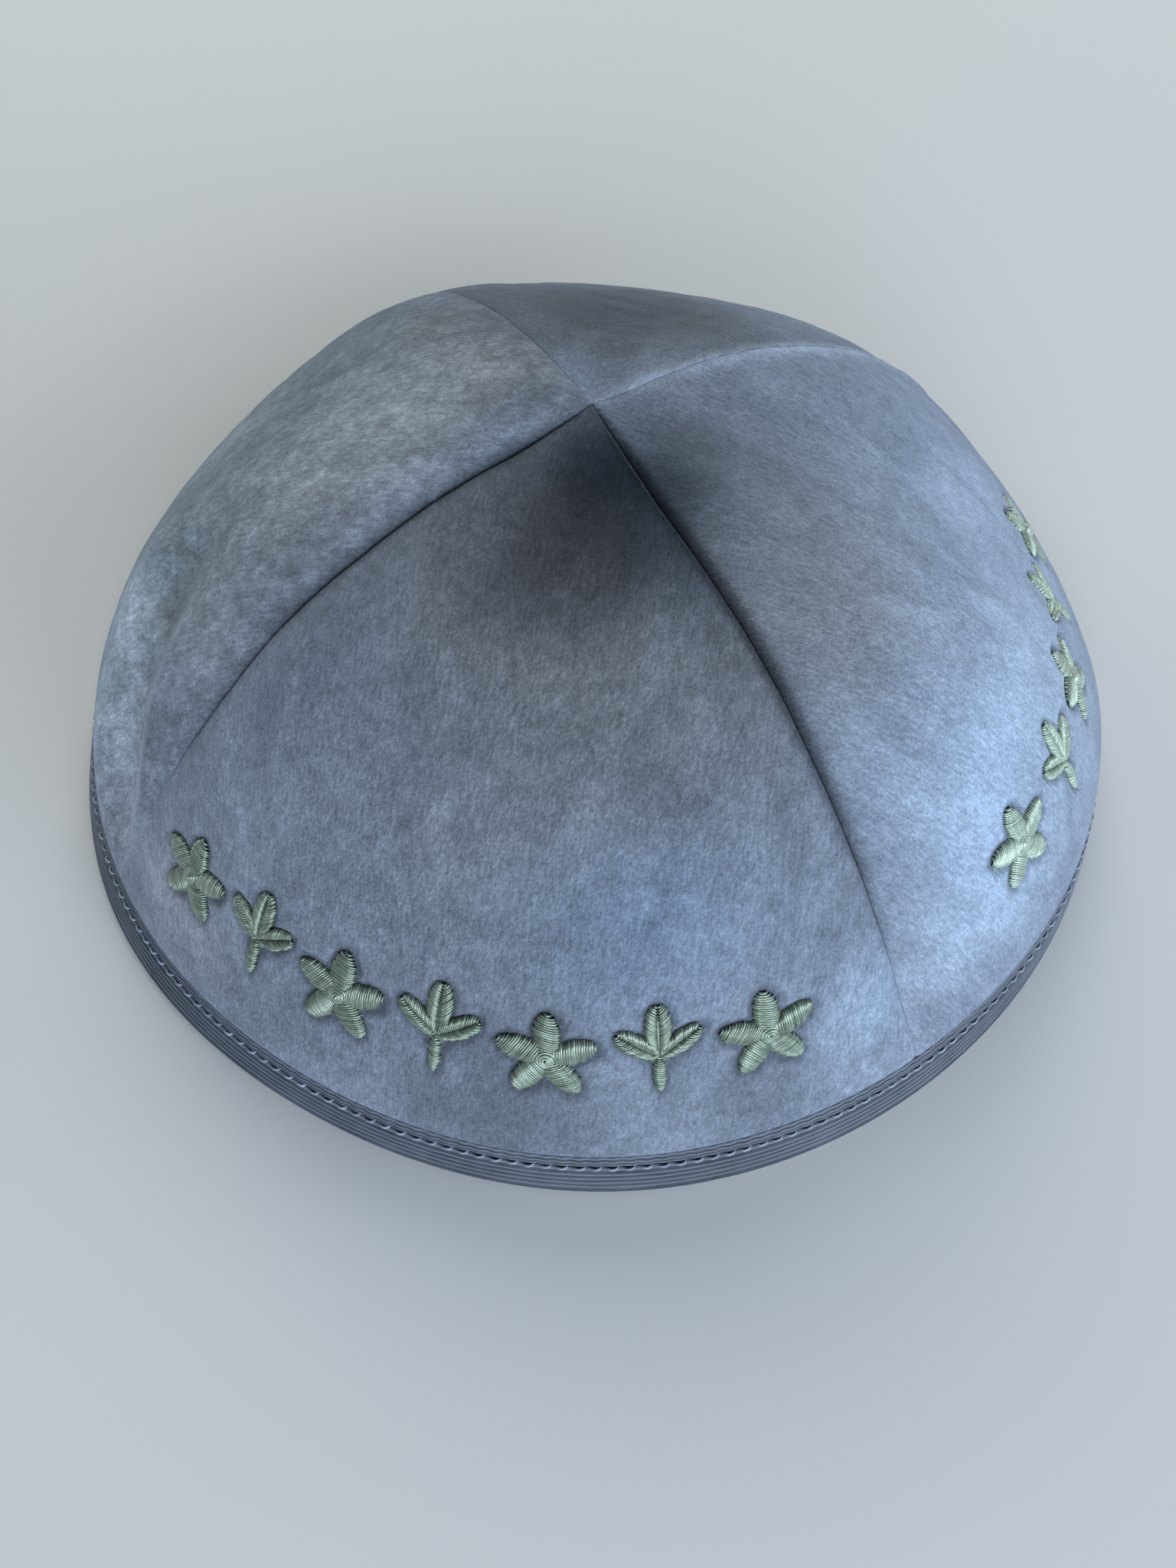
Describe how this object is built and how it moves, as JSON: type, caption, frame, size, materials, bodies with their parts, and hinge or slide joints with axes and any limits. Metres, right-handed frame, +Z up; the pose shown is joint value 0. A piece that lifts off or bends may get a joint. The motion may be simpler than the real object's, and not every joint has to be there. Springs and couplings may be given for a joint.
{
  "type": "kippah skullcap",
  "caption": "Round velvet skullcap of sewn gores, with a folded ribbon edge and a row of raised stitched flowers and sprigs.",
  "frame": {"origin": "middle of the ring that the cap rests on, at the height of the surface under it", "axes": "+Z up through the top of the dome, -Y towards the front gore, +X to the right as seen from the front"},
  "size_m": [0.1613, 0.1635, 0.0599],
  "materials": {
    "velvet": "short-pile grey-blue velvet, matt, brighter at grazing angles",
    "ribbon": "ribbed grosgrain-like ribbon, slightly darker than the velvet",
    "thread": "sage green embroidery thread with a satin shine"
  },
  "bodies": {
    "root": {"panel_front": "velvet", "panel_right": "velvet", "panel_back": "velvet", "panel_left": "velvet", "binding": "ribbon", "motif_front_1": "thread", "motif_front_2": "thread", "motif_front_3": "thread", "motif_front_4": "thread", "motif_front_5": "thread", "motif_front_6": "thread", "motif_front_7": "thread", "motif_right_1": "thread", "motif_right_2": "thread", "motif_right_3": "thread", "motif_right_4": "thread", "motif_right_5": "thread"}
  },
  "joints": []
}
